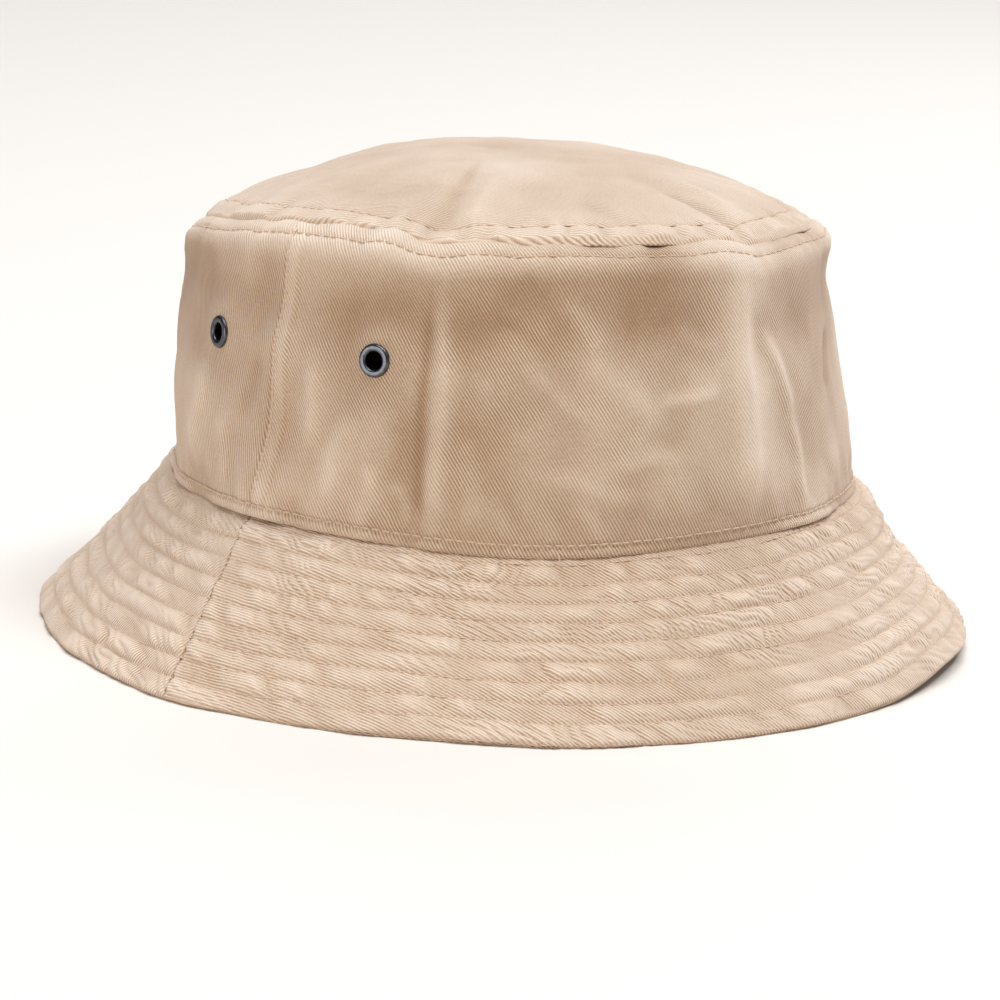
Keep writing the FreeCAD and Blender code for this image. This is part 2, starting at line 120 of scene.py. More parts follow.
BRIM_SEAM_HEIGHT = 41.2
BRIM_SEAM_INSET = 0.8
SLOPE = math.hypot(REACH + BRIM_SEAM_INSET, BRIM_SEAM_HEIGHT)
WALL_TOP = 109.0
WALL_LEAN = 6.0
WALL = math.hypot(WALL_LEAN, WALL_TOP - FOLD_HEIGHT)
RIM_RADIUS = 10.0
RIM_SWEEP = math.radians(65)
CROWN = WALL + RIM_RADIUS * RIM_SWEEP
TIP_SHARE = 0.9  # the tip's seam, as a share of the ellipsoid that the tip is a cap of
CLOTH = 0.6
TAPE = 0.4
INTERLINING = 0.5
BRIM_THICKNESS = 1.9
BRIM_ALLOWANCE = 6.0
FIRST_ROW = 6.5
ROW_PITCH = 5.9
ROW_COUNT = 9
BASE_ROW = 2.8
SIDE_ROW = CROWN - 4.6
TIP_ROW = 5.8
BAND_HEM_ROW = BAND_TOP - 3
STITCH_PITCH = 2.9
STITCH_GAP = 0.22  # between two stitches, as a share of the pitch
THREAD = 0.22
EYELET_HOLE = 2.9


# ---- Helpers on arrays ----
def smooth_noise(x, y, seed):
    """Smooth random values between -1 and 1, about one feature per unit of x and y."""
    size = 101
    table = np.random.default_rng(seed).uniform(-1, 1, (size, size))
    column, row = np.floor(x).astype(int), np.floor(y).astype(int)
    right, up = x - column, y - row
    right = right * right * (3 - 2 * right)
    up = up * up * (3 - 2 * up)

    def corner(i, j):
        return table[(column + i) % size, (row + j) % size]

    low = corner(0, 0) * (1 - right) + corner(1, 0) * right
    high = corner(0, 1) * (1 - right) + corner(1, 1) * right
    return low * (1 - up) + high * up


def ease(value, start, end):
    """0 before start, 1 after end, and smooth between them."""
    share = np.clip((value - start) / (end - start), 0, 1)
    return share * share * (3 - 2 * share)


def hill(value, centre, width):
    """1 at the centre, falling smoothly to 0 over the width."""
    return np.exp(-(((value - centre) / width) ** 2))


def layered(layers, x, y, start=0):
    """Noises added up. Each layer has a height, a size along x and along y, and a seed."""
    total = 0
    for height, wide, tall, seed in layers:
        total = total + height * smooth_noise(x / wide + start, y / tall + start, seed)
    return total


def near(turn, degrees, width):
    """1 at a direction, falling smoothly to 0 over a width in degrees."""
    gap = (np.degrees(turn) - degrees + 180) % 360 - 180
    return hill(gap, 0, width)


def unit(vectors):
    return vectors / np.maximum(np.linalg.norm(vectors, axis=-1, keepdims=True), 1e-9)


# ---- The eyelets, which stay where the CAD has them ----
def eyelet_place(node):
    """The middle of an eyelet's flange and its outward direction."""
    points = np.array([vertex.co for vertex in frame["nodes"][node].data.vertices]) / MM
    centre = (points.min(axis=0) + points.max(axis=0)) / 2
    _, _, axes = np.linalg.svd(points - centre, full_matrices=False)
    outward = axes[2] * np.sign(axes[2] @ (centre * [1, 1, 0]))
    return centre, outward


EYELETS = [eyelet_place(n) for n in frame["nodes"] if n.startswith("eyelet") and "washer" not in n]


EYELET_SIDE = 25  # further along an eyelet's axis lies the hat's other side


def off_eyelets(points, start, end):
    """0 up to one distance from an eyelet's axis, rising to 1 at another."""
    free = np.ones(points.shape[:-1])
    for centre, outward in EYELETS:
        gap = points - centre
        along = gap @ outward
        away = np.sqrt(np.maximum((gap**2).sum(axis=-1) - along**2, 0))
        beside = np.where(np.abs(along) < EYELET_SIDE, away, end)
        free = free * ease(beside, start, end)
    return free


# ---- The hat's faces: turns and distances in, points out ----
BRIM_WAVES = (  # direction and width in degrees, then how far up and out in millimetres
    (143, 20, 0.2, -0.6),
    (187, 16, 0.0, 2.2),
    (214, 12, 0.5, 0.0),
    (238, 22, 0.0, 1.3),
    (303, 26, 1.2, 0.0),
    (290, 13, 3.2, 0.0),
    (318, 15, 1.4, -1.8),
    (20, 30, 1.6, 0.6),
    (85, 24, 0.9, -0.6),
)
SWELLS = (  # direction and width in degrees, height and spread in millimetres, then how far out
    (140, 26, 22, 13, -3.6),
    (134, 18, 50, 12, -4.4),
    (316, 24, 36, 8, 4.4),
    (313, 20, 52, 13, 1.6),
    (308, 14, 84, 11, -1.5),
    (311, 15, 102, 9, -1.8),
    (136, 16, 74, 22, -0.6),
    (60, 24, 70, 20, -1.2),
    (100, 18, 95, 14, 0.8),
)
SEAM_DIPS = (  # direction and width in degrees, then how far the tip seam sinks
    (210.9, 5, 1.6),
    (271.6, 5, 2.2),
    (114, 37, 8.4),
    (117, 16, 3.0),
    (20, 12, 1.2),
    (318, 22, 2.8),
    (2, 32, 2.0),
    (190, 20, -2.4),
    (238, 26, -1.3),
    (34, 9, 1.2),
)
WALL_SWAY = ((0, 25, 45, 60, 78), (-1.4, 1.8, 2.0, 3.4, 4.2))  # millimetres up, and degrees of the left seam
BRIM_SWAY = ((0, 55), (4.0, -1.4))
BASE_SAG = (227, 24, 2.2)  # direction and width in degrees, then how far the crown's base seam sags
SAG_SPREAD = 17.0  # millimetres above and below the base seam that the sag reaches
CREST_RIPPLES = ((0.45, 1 / 13, 1, 5),)  # height in millimetres, size in radians, 1, and seed
EDGE_RIPPLES = ((0.5, 1 / 5, 1, 6), (0.35, 1 / 11, 1, 7))
LEVEL_BRIM = 44.0  # height above which the brim's waves have died out
CREST_FOOT = 96.0  # height from which the tip seam's dips are felt


def oval(turn, inset, height):
    """Points on a level of the hat."""
    x = (HALF_WIDTH - inset) * np.cos(turn)
    y = (HALF_LENGTH - inset) * np.sin(turn)
    return np.stack(np.broadcast_arrays(x, y, height), axis=-1)


def swayed(turn, along, path):
    """The left side seam wanders, and takes the cloth beside it along."""
    return turn + np.radians(np.interp(along, *path)) * near(turn, 180, 24)


def moved(points, turn, out, up):
    """Points carried outward and upward."""
    shift = np.stack(np.broadcast_arrays(np.cos(turn) * out, np.sin(turn) * out, up), axis=-1)
    return points + shift * off_eyelets(points, 6, 16)[..., None]


def lie(turn, height):
    """How far out and up a place goes as the hat settles, which all its layers share."""
    brim = 1 - ease(height, 0, LEVEL_BRIM)
    crest = ease(height, CREST_FOOT, TIP_SEAM_HEIGHT)
    out = sum(reach * near(turn, to, width) for to, width, _, reach in BRIM_WAVES) * brim
    up = sum(rise * near(turn, to, width) for to, width, rise, _ in BRIM_WAVES) * brim
    up = up - sum(drop * near(turn, to, width) for to, width, drop in SEAM_DIPS) * crest
    up = up + layered(CREST_RIPPLES, turn, 0 * turn) * crest
    to, width, drop = BASE_SAG
    up = up - drop * near(turn, to, width) * hill(height, BRIM_SEAM_HEIGHT, SAG_SPREAD)
    out = out + layered(EDGE_RIPPLES, turn, 0 * turn) * brim**3
    for to, width, middle, spread, swell in SWELLS:
        out = out + swell * near(turn, to, width) * hill(height, middle, spread)
    return out, up


def brim_face(turn, along):
    """The brim's upper face, from its edge up the slope and then up inside the crown."""
    turn = swayed(turn, along, BRIM_SWAY)
    slope = np.minimum(along, SLOPE) / SLOPE
    above = np.maximum(along - SLOPE, 0)
    height = BRIM_SEAM_HEIGHT * slope + above
    inset = -REACH + (REACH + BRIM_SEAM_INSET) * slope + above * WALL_LEAN / WALL
    return moved(oval(turn, inset, height), turn, *lie(turn, height))


def wall_face(turn, along):
    """The crown's side, from its folded foot up to the tip seam."""
    turn = swayed(turn, along, WALL_SWAY)
    wall = np.minimum(along, WALL) / WALL
    bend = np.maximum(along - WALL, 0) / RIM_RADIUS
    height = FOLD_HEIGHT + (WALL_TOP - FOLD_HEIGHT) * wall + RIM_RADIUS * np.sin(bend)
    inset = WALL_LEAN * wall + RIM_RADIUS * (1 - np.cos(bend))
    return moved(oval(turn, inset, height), turn, *lie(turn, height))


def tip_face(turn, inward):
    """The domed top, from its seam inward."""
    share = np.maximum(1 - inward / TIP_HALF_WIDTH, 0)
    ellipsoid = share * TIP_SHARE
    foot = math.sqrt(1 - TIP_SHARE**2)
    height = TIP_SEAM_HEIGHT + TIP_RISE * (np.sqrt(1 - ellipsoid**2) - foot) / (1 - foot)
    points = oval(turn, 0, height)
    points[..., 0] *= share * TIP_HALF_WIDTH / HALF_WIDTH
    points[..., 1] *= share * TIP_HALF_LENGTH / HALF_LENGTH
    out, up = lie(turn, TIP_SEAM_HEIGHT)
    return moved(points, turn, out * share**2, up * share**2.5)


def normals(face, turn, along):
    """Outward directions of a face."""
    across = face(turn + 0.004, along) - face(turn - 0.004, along)
    upward = face(turn, along + 0.3) - face(turn, along - 0.3)
    return unit(np.cross(across, upward))


def raised(face, turn, along, lift):
    """Points at a height above a face."""
    return face(turn, along) + normals(face, turn, along) * np.asarray(lift)[..., None]


# ---- Relief: how far the cloth stands off those faces ----
BRIM_ARC = 118.0  # millimetres of cloth per radian of turn, halfway up the brim
WALL_ARC = 94.0
CREASES = (  # ends as (degrees, height), half width, and how far the crease stands out
    ((212.6, 106), (212.0, 46), 3.0, 0.95),
    ((209.9, 104), (209.3, 44), 1.7, -0.55),
    ((264.8, 113), (264.6, 50), 12.0, 1.1),
    ((264.4, 114), (265.0, 48), 3.4, 0.7),
    ((269.2, 95), (276.6, 71), 2.8, 0.8),
    ((276.6, 71), (279.0, 48), 2.8, 0.7),
    ((247.8, 77), (259.0, 79.5), 2.2, 0.45),
    ((236.0, 92), (249.0, 70), 3.4, 0.32),
    ((226.0, 88), (236.0, 74), 2.6, 0.26),
    ((220.0, 100), (231.0, 90), 2.4, -0.30),
    ((228.0, 60), (246.0, 54), 2.6, 0.26),
    ((252.0, 98), (259.0, 90), 2.6, 0.30),
    ((241.0, 62), (252.0, 65.0), 2.6, 0.30),
    ((188.6, 84), (189.5, 64), 2.4, 0.55),
    ((196.0, 72), (193.5, 50), 3.0, 0.5),
    ((200.7, 60), (202.0, 46), 2.6, 0.6),
    ((206.0, 57), (208.5, 46), 2.4, 0.45),
    ((216.5, 70), (219.0, 47), 3.2, 0.4),
    ((169.0, 66), (172.0, 48), 3.0, 0.6),
    ((162.0, 78), (160.0, 52), 3.6, 0.6),
    ((176.5, 84), (174.0, 66), 2.6, -0.4),
    ((295.4, 90), (293.0, 74), 3.2, -0.7),
    ((292.0, 92), (296.0, 54), 5.0, -0.4),
    ((232.0, 104), (238.0, 92), 3.2, 0.4),
    ((330.0, 100), (334.0, 58), 5.0, 0.9),
    ((352.0, 70), (349.0, 47), 3.0, 0.6),
    ((18.0, 96), (22.0, 50), 4.0, 0.8),
    ((48.0, 104), (42.0, 62), 6.0, -0.8),
    ((70.0, 72), (78.0, 48), 3.5, 0.7),
    ((101.0, 108), (104.0, 58), 5.0, 0.7),
    ((128.0, 80), (122.0, 48), 4.0, 0.8),
)
DENTS = (  # on the tip: ends as (degrees, millimetres in from the seam), half width, and how far out
    ((209.0, 50), (211.5, 2), 3.6, -1.0),
    ((219.0, 36), (216.0, 3), 3.4, 0.6),
    ((268.0, 26), (271.6, 2), 3.2, -0.8),
    ((281.0, 30), (277.0, 2), 3.0, 0.45),
    ((240.0, 20), (246.0, 5), 4.0, -0.4),
    ((300.0, 34), (312.0, 8), 4.5, 0.6),
    ((150.0, 30), (146.0, 4), 4.0, -0.6),
    ((30.0, 30), (30.0, 2), 3.4, -0.8),
    ((85.0, 40), (95.0, 10), 5.0, 0.6),
)
CREASE_GAIN = 1.7  # how much deeper the crown's creases are than the table says
CREASE_WANDER = 1.1  # millimetres that a crease strays from its line
# Noises: height, size along the hat and size up it in millimetres, and seed
WALL_FOLDS = ((1.15, 27, 24, 21), (0.58, 10, 13, 22), (0.11, 3.6, 4.5, 23))
FOOT_PUCKERS = ((0.55, 3.8, 15, 24),)
SEAM_PUCKERS = ((0.42, 3.6, 8, 25),)
TIP_FOLDS = ((0.65, 30, 30, 31), (0.30, 10, 10, 32), (0.10, 3.5, 3.5, 34))
TIP_PUCKERS = ((0.75, 3.4, 9, 33),)
BRIM_SWELLS = ((0.35, 34, 26, 15),)
PUCKER_DRIFT = ((1.5, 17, 9, 11),)
FINE_DRIFT = ((0.9, 6, 5, 12),)
FINE_START = 200  # millimetres further up the noise
TIP_START = 50  # where in the noise the tip's folds begin, in features
FURROW = 0.75  # half width of the furrow that a row of stitches pulls into the cloth
WALL_BANDS = (  # distance up the cloth, half width, and how far the cloth stands out there
    (WALL + 5, 4, 0.30),
    (WALL - 10, 9, -0.95),
    (BASE_ROW, FURROW, -0.42),
    (SIDE_ROW, FURROW, -0.34),
)
FOLD_PLUMP = 0.34  # how far the foot stands out below its stitches
SEAM_PINCH = 0.45  # how far the crown's seams are drawn in
SEAM_TUCK = 0.8  # and how much further the tip seam's allowance goes
ALLOWANCE_STEP = 0.7  # how far the side seams' folded allowances stand out
ALLOWANCE = 5.5  # and how wide they are
DEEPEST_FOOT = 0.35  # the foot is drawn in no further: the brim's allowance is behind it
TIP_EDGE_PLUMP = 0.35
TIP_FURROW = 0.25
TIP_EDGE_DROP = 0.8
PUCKER_PITCH = 2.9  # millimetres from one of the brim's puckers to the next
PUCKER_LEAN = (0.62, 0.78)  # direction across the puckers: along the brim, and up it
PUCKER_STEP = 1.3  # how far they are out of step from one band to the next
PUCKER_DEPTH = 0.80
LUMP_DEPTH = 0.70
PILLOW_DEPTH = 0.30
BRIM_LIFT = 0.16


def crease(x, y, start, end, width, depth):
    """A soft ridge or furrow from one place to another, which fades at its ends."""
    start, end = np.array(start), np.array(end)
    line = end - start
    length = np.hypot(*line)
    share = ((x - start[0]) * line[0] + (y - start[1]) * line[1]) / length**2
    beside = ((x - start[0]) * line[1] - (y - start[1]) * line[0]) / length
    beside = beside + CREASE_WANDER * smooth_noise(share * 3 + start[0], np.zeros_like(share), 3)
    return depth * hill(beside, 0, width) * ease(share, -0.12, 0.22) * (1 - ease(share, 0.78, 1.12))


def creases(strokes, x, y, scale):
    """All the creases of a panel. Their turns are in degrees, and the scale in millimetres per radian."""
    total = np.zeros(np.broadcast(x, y).shape)
    for (start_turn, start_height), (end_turn, end_height), width, depth in strokes:
        start = (math.radians(start_turn) * scale, start_height)
        end = (math.radians(end_turn) * scale, end_height)
        total += crease(x, y, start, end, width, depth)
    return total


def seam_distance(turn):
    """Millimetres in front of the nearest side seam, and less than 0 behind it."""
    return -np.arcsin(np.clip(np.sin(turn), -1, 1)) * HALF_LENGTH


def seam_step(turn):
    """The front panel's folded allowances stand out beside a side seam."""
    gap = seam_distance(turn)
    band = ease(gap, -0.4, 0.5) * (1 - ease(gap, ALLOWANCE - 0.9, ALLOWANCE + 0.9))
    return ALLOWANCE_STEP * band - SEAM_PINCH * hill(gap, -0.5, 0.6)


def brim_row(index):
    """How far a row of brim stitching lies from the edge."""
    return FIRST_ROW + ROW_PITCH * index


def row_sway(turn, along):
    """A sewn row wanders a little."""
    return 0.34 * smooth_noise(turn * 9, along / ROW_PITCH * 0.9, 17)


def brim_window(along):
    """0 at each row of stitching and 1 midway between two."""
    band = (along - FIRST_ROW) / ROW_PITCH
    between = np.abs(np.sin(HALF * band))
    hem = np.clip(along / FIRST_ROW, 0, 1)
    edge = 2 * np.sqrt(hem * (1 - hem))
    last = brim_row(ROW_COUNT - 1)
    return np.where(band < 0, edge, np.where(along > last, 0.15, between))


def brim_relief(turn, along):
    """Pillows between the rows of stitching, and the slanted puckers that washing draws across them."""
    x = turn * BRIM_ARC
    along = along - row_sway(turn, along) * ease(along, 1, 4)
    band = np.floor((along - FIRST_ROW) / ROW_PITCH)
    window = brim_window(along)
    drift = layered(PUCKER_DRIFT, x, along) + layered(FINE_DRIFT, x, along + FINE_START)
    across = (x * PUCKER_LEAN[0] + along * PUCKER_LEAN[1] + band * PUCKER_STEP) / PUCKER_PITCH + drift
    ridge = 1 - np.abs(np.sin(HALF * across)) ** 0.8
    gather = np.clip(0.65 + 0.75 * smooth_noise(x / 19, band * 0.83, 13), 0.25, 1.3)
    lumps = smooth_noise((x + 0.5 * along) / 4.3, band * 0.77 + along / 9, 14)
    puckers = PUCKER_DEPTH * gather * (1 - ridge) + LUMP_DEPTH * lumps
    swell = layered(BRIM_SWELLS, x, along) * ease(along, 2, 9) * (1 - ease(along, SLOPE - 4, SLOPE))
    seam_dip = -0.3 * ease(along, SLOPE - 1.6, SLOPE)
    gap = seam_distance(turn)
    join = 0.25 * hill(gap, 2.2, 2.2) - 0.35 * hill(gap, 0, 0.55)
    pulled = (1 - window) ** 3 * ease(along, 2, 5) * (0.07 + 0.09 * np.cos(x * WHOLE / STITCH_PITCH))
    return BRIM_LIFT + window**0.7 * (PILLOW_DEPTH + puckers) + swell + seam_dip + join - pulled


def wall_relief(turn, along):
    """Soft creases all over, a bulging folded foot, and puckers beside the rows of stitching."""
    x = turn * WALL_ARC
    height = along + FOLD_HEIGHT
    relief = creases(CREASES, np.mod(x, WHOLE * WALL_ARC), height, WALL_ARC)
    relief = CREASE_GAIN * relief + layered(WALL_FOLDS, x, along)
    relief += hill(along, 7, 6) * layered(FOOT_PUCKERS, x + 0.4 * along, along)
    near_seam = ease(along, SIDE_ROW - 7, SIDE_ROW - 1) * (1 - ease(along, CROWN - 1.5, CROWN))
    relief += near_seam * layered(SEAM_PUCKERS, x, along)
    relief += sum(depth * hill(along, row, width) for row, width, depth in WALL_BANDS)
    relief += FOLD_PLUMP * ease(along, 0.2, 1.0) * (1 - ease(along, 2.2, 3.4))
    relief -= SEAM_PINCH * ease(along, CROWN - 1.3, CROWN) + SEAM_TUCK * ease(along, CROWN, CROWN + 1.5)
    relief += seam_step(turn) * ease(along, 2, 6) * (1 - ease(along, CROWN - 2, CROWN))
    relief = np.maximum(relief, -DEEPEST_FOOT - 3 * ease(along, 7, 16))
    return relief * off_eyelets(oval(turn, 0, height), 5, 13)


def tip_relief(turn, inward):
    """The top's dents, and puckers beside its seam."""
    around = np.mod(turn * TIP_HALF_LENGTH, WHOLE * TIP_HALF_LENGTH)
    plan = oval(turn, 0, 0) * (1 - inward / TIP_HALF_WIDTH)[..., None]
    relief = creases(DENTS, around, inward, TIP_HALF_LENGTH)
    relief += layered(TIP_FOLDS, plan[..., 0], plan[..., 1], TIP_START)
    relief *= ease(inward, -0.5, 6)
    near_seam = (1 - ease(inward, 2, 12)) * ease(inward, 0.2, 1.6)
    relief += near_seam * layered(TIP_PUCKERS, around, inward)
    relief += TIP_EDGE_PLUMP * ease(inward, 0.3, 1.2) * (1 - ease(inward, TIP_ROW - 1, TIP_ROW))
    relief -= TIP_FURROW * hill(inward, TIP_ROW, FURROW) + TIP_EDGE_DROP * (1 - ease(inward, -0.7, 0.9))
    return relief


ROLL_END = 1.45  # radians that an edge is rolled through at most


def rolled(points, outward, along, start, radius):
    """Bends the last of a sheet, below a distance along it, round towards its back."""
    angle = np.clip((start - along) / radius, 0, ROLL_END)[..., None]
    down = -unit(np.gradient(points, axis=0))
    pulled = np.maximum(start - along, 0)[..., None]
    return points - down * pulled + down * np.sin(angle) * radius - outward * (1 - np.cos(angle)) * radius


# ---- Flat patterns, in metres, which the weave follows ----
def cone_pattern(turn, along, centre, foot_radius, top_radius, length):
    """A half panel laid flat: part of a ring, with its foot's and top's mean radii on the hat."""
    lean = (foot_radius - top_radius) / length
    from_apex = foot_radius / lean - along
    spread = (turn - centre) * lean
    return np.stack([from_apex * np.sin(spread), -from_apex * np.cos(spread)], axis=-1) * MM


def strip_pattern(turn, along, radius):
    """A straight strip laid flat."""
    return np.stack(np.broadcast_arrays(turn * radius, along), axis=-1) * MM


# ---- Meshes ----
def add_piece(name, points, faces, node, slot, body="hat"):
    """An object in place of a CAD node, riding one of the bodies. It rests on the floor, not in it."""
    points[:, 2] = np.maximum(points[:, 2], 0)
    mesh = bpy.data.meshes.new(name)
    mesh.from_pydata((points * MM).tolist(), [], faces)
    mesh.materials.append(MATERIALS[slot])
    mesh.shade_smooth()
    piece = bpy.data.objects.new(name, mesh)
    bpy.context.collection.objects.link(piece)
    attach(piece, body)
    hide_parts(node)
    return piece


def grid_quads(rows, columns, closed):
    """Faces of a grid whose rows go up and whose columns go round."""
    index = np.arange(rows * columns).reshape(rows, columns)
    left, right = (index, np.roll(index, -1, axis=1)) if closed else (index[:, :-1], index[:, 1:])
    return np.stack([left[:-1], right[:-1], right[1:], left[1:]], axis=-1)


def sheet_faces(quads, count):
    """Faces of a sheet: its outer grid's, its inner copy's, and those that close its edges."""
    edges = np.concatenate([quads[:, [i, (i + 1) % 4]] for i in range(4)])
    one_way = edges[:, 0] * count + edges[:, 1]
    other_way = edges[:, 1] * count + edges[:, 0]
    start, end = edges[~np.isin(one_way, other_way)].T
    walls = np.stack([end, start, start + count, end + count], axis=1)
    return np.concatenate([quads, quads[:, ::-1] + count, walls])


def lay_pattern(piece, flat, faces):
    """Gives a piece its flat pattern."""
    layer = piece.data.uv_layers.new(name="pattern")
    layer.uv.foreach_set("vector", flat[faces.ravel()].astype(np.float32).ravel())


def cloth(node, outer, thickness, pattern, tone, slot, kept=None, closed=False):
    """A sheet of cloth with a thickness, from a grid of points on its outer face."""
    rows, columns = outer.shape[:2]
    across = np.roll(outer, -1, axis=1) - np.roll(outer, 1, axis=1) if closed else np.gradient(outer, axis=1)
    outward = unit(np.cross(across, np.gradient(outer, axis=0)))
    inner = outer - outward * np.broadcast_to(thickness, (rows, columns))[..., None]
    quads = grid_quads(rows, columns, closed)
    quads = quads[kept] if kept is not None else quads.reshape(-1, 4)
    used, faces = np.unique(sheet_faces(quads, rows * columns), return_inverse=True)
    faces = faces.reshape(-1, 4)
    points = np.concatenate([outer.reshape(-1, 3), inner.reshape(-1, 3)])[used]
    piece = add_piece(node + "_cloth", points, faces.tolist(), node, slot)
    flat = pattern.reshape(-1, 2)
    lay_pattern(piece, np.concatenate([flat, flat])[used], faces)
    tones = np.broadcast_to(tone, (rows, columns)).ravel()
    attribute = piece.data.attributes.new("tone", "FLOAT", "POINT")
    attribute.data.foreach_set("value", np.concatenate([tones, tones])[used].astype(np.float32))


def capsule(sides, rings):
    """A lens-shaped stitch along X, one unit long and one in radius, with its faces."""
    along = np.linspace(-0.5, 0.5, rings)
    radius = np.sqrt(np.clip(1 - (2 * along) ** 2, 0.10, 1)) ** 0.6
    angle = np.arange(sides) * WHOLE / sides
    ring = np.stack([np.zeros(sides), np.cos(angle), np.sin(angle)], axis=-1)
    points = ring[None] * radius[:, None, None]
    points[..., 0] = along[:, None]
    faces = grid_quads(rings, sides, True).reshape(-1, 4)[:, ::-1].tolist()
    ends = [list(range(sides)), list(range((rings - 1) * sides, rings * sides))[::-1]]
    return points.reshape(-1, 3), faces + ends


STITCH_SHAPE, STITCH_FACES = capsule(6, 6)


def stitches(starts, ends, outward, radius=THREAD, sag=0.16):
    """Points and faces of a row of stitches. Each one's ends dip into the cloth."""
    line = ends - starts
    length = np.linalg.norm(line, axis=1)
    forward = line / length[:, None]
    sideways = unit(np.cross(outward, forward))
    upward = np.cross(forward, sideways)
    along, beside, above = STITCH_SHAPE.T
    bow = above[None] * radius - sag * (2 * along[None]) ** 2
    points = ((starts + ends) / 2)[:, None] + forward[:, None] * (along[None] * length[:, None])[..., None]
    points = points + sideways[:, None] * (beside * radius)[None, :, None] + upward[:, None] * bow[..., None]
    size = len(STITCH_SHAPE)
    faces = [[corner + size * i for corner in face] for i in range(len(starts)) for face in STITCH_FACES]
    return points.reshape(-1, 3), faces


def joined(parts):
    """Several lots of points and faces as one."""
    points, faces, count = [], [], 0
    for part_points, part_faces in parts:
        points.append(part_points)
        faces += [[corner + count for corner in face] for face in part_faces]
        count += len(part_points)
    return np.concatenate(points), faces


RING_STEPS = 2400  # places at which the length of a row is measured
UNEVEN = 0.06  # how far a stitch's place strays, in stitches
WANDER = 0.10  # and how far it strays from its row, in millimetres


def steady(turn, along):
    """A sewn row that runs true."""
    return np.zeros_like(turn)


def ring_stitches(face, along, lift, seed, sway=steady):
    """A row of stitches all round the hat. A lift below 0 puts it on the cloth's back."""
    turn = np.linspace(0, WHOLE, RING_STEPS, endpoint=False)
    path = raised(face, turn, np.full_like(turn, along), lift(turn, np.full_like(turn, along)))
    step = np.linalg.norm(np.roll(path, -1, axis=0) - path, axis=1)
    travelled = np.concatenate([[0], np.cumsum(step)])
    count = int(round(travelled[-1] / STITCH_PITCH))
    random = np.random.default_rng(seed)
    places = (np.arange(count) + random.uniform(-UNEVEN, UNEVEN, count)) / count
    opened = np.append(turn, WHOLE)
    start_turn = np.interp((places + STITCH_GAP / 2 / count) % 1 * travelled[-1], travelled, opened)
    end_turn = np.interp((places + (1 - STITCH_GAP / 2) / count) % 1 * travelled[-1], travelled, opened)
    wander = random.uniform(-WANDER, WANDER, (2, count))
    ends = []
    for turns, aside in zip((start_turn, end_turn), wander):
        rows = along + sway(turns, np.full(count, float(along))) + aside
        ends.append(raised(face, turns, rows, lift(turns, rows)))
    outward = normals(face, start_turn, np.full(count, float(along)))
    return stitches(ends[0], ends[1], outward)


def line_stitches(face, turn, start, end, lift):
    """A row of stitches up the hat."""
    count = max(int(round((end - start) / STITCH_PITCH)), 1)
    edges = np.linspace(start, end, count + 1)
    spare = STITCH_GAP * STITCH_PITCH / 2
    turns = np.full(count, turn)
    low = raised(face, turns, edges[:-1] + spare, lift(turns, edges[:-1] + spare))
    high = raised(face, turns, edges[1:] - spare, lift(turns, edges[1:] - spare))
    return stitches(low, high, normals(face, turns, (edges[:-1] + edges[1:]) / 2))


# ---- Materials ----
TWILL_SLANT = math.radians(60)  # of the weave's lines below level, at the middle of each panel
TWILL_PITCH = 0.00079  # metres from one line of the weave to the next


class Shader:
    """A material's node tree, with its nodes made and linked by short calls."""

    def __init__(self, name, roughness, specular=0.25):
        self.material = bpy.data.materials.new(name)
        self.material.use_nodes = True
        self.nodes = self.material.node_tree.nodes
        self.links = self.material.node_tree.links
        self.surface = self.nodes["Principled BSDF"]
        self.look("Roughness", roughness)
        self.look("Specular IOR Level", specular)

    def node(self, kind, settings=(), inputs=()):
        """A node with its properties set, and its sockets set or linked."""
        node = self.nodes.new(kind)
        for key, value in dict(settings).items():
            setattr(node, key, value)
        for key, value in dict(inputs).items():
            self.put(node.inputs[key], value)
        return node

    def look(self, name, value):
        """Sets or links an input of the surface."""
        self.put(self.surface.inputs[name], value)

    def put(self, socket, value):
        if isinstance(value, bpy.types.NodeSocket):
            self.links.new(value, socket)
        else:
            socket.default_value = value

    def maths(self, operation, first, second=0.0, third=0.0):
        inputs = {0: first, 1: second, 2: third}
        return self.node("ShaderNodeMath", {"operation": operation}, inputs).outputs[0]

    def spread(self, value, low, high, start=0.0):
        """A value between a start and 1, stretched to between two others."""
        inputs = {"Value": value, "From Min": start, "To Min": low, "To Max": high}
        return self.node("ShaderNodeMapRange", {}, inputs).outputs[0]

    def noise(self, place, size, detail=2.0, low=0.0, high=1.0):
        """Soft noise with features of a size in metres."""
        made = self.node("ShaderNodeTexNoise", {}, {"Vector": place, "Scale": 1 / size, "Detail": detail})
        return self.spread(made.outputs["Fac"], low, high)

    def stripes(self, place, angle, pitch, waver):
        """Lines across a direction in the pattern, which waver by a noise in metres."""
        turned = self.node("ShaderNodeMapping", {}, {"Vector": place, "Rotation": (0, 0, angle)})
        across = self.node("ShaderNodeSeparateXYZ", {}, {"Vector": turned.outputs[0]}).outputs["X"]
        phase = self.maths("MULTIPLY", self.maths("ADD", across, waver), WHOLE / pitch)
        return self.spread(self.maths("SINE", phase), 0.0, 1.0, -1.0)

    def ramp(self, value, *stops):
        """Colours along a value, from pairs of a place and a colour."""
        made = self.node("ShaderNodeValToRGB", {}, {"Fac": value})
        elements = made.color_ramp.elements
        elements[0].position, elements[1].position = stops[0][0], stops[-1][0]
        elements[0].color, elements[1].color = (*stops[0][1], 1), (*stops[-1][1], 1)
        for place, colour in stops[1:-1]:
            elements.new(place).color = (*colour, 1)
        return made.outputs["Color"]

    def bump(self, height, distance, strength=1.0, under=None):
        inputs = {"Height": height, "Distance": distance, "Strength": strength}
        if under is not None:
            inputs["Normal"] = under
        return self.node("ShaderNodeBump", {}, inputs).outputs[0]


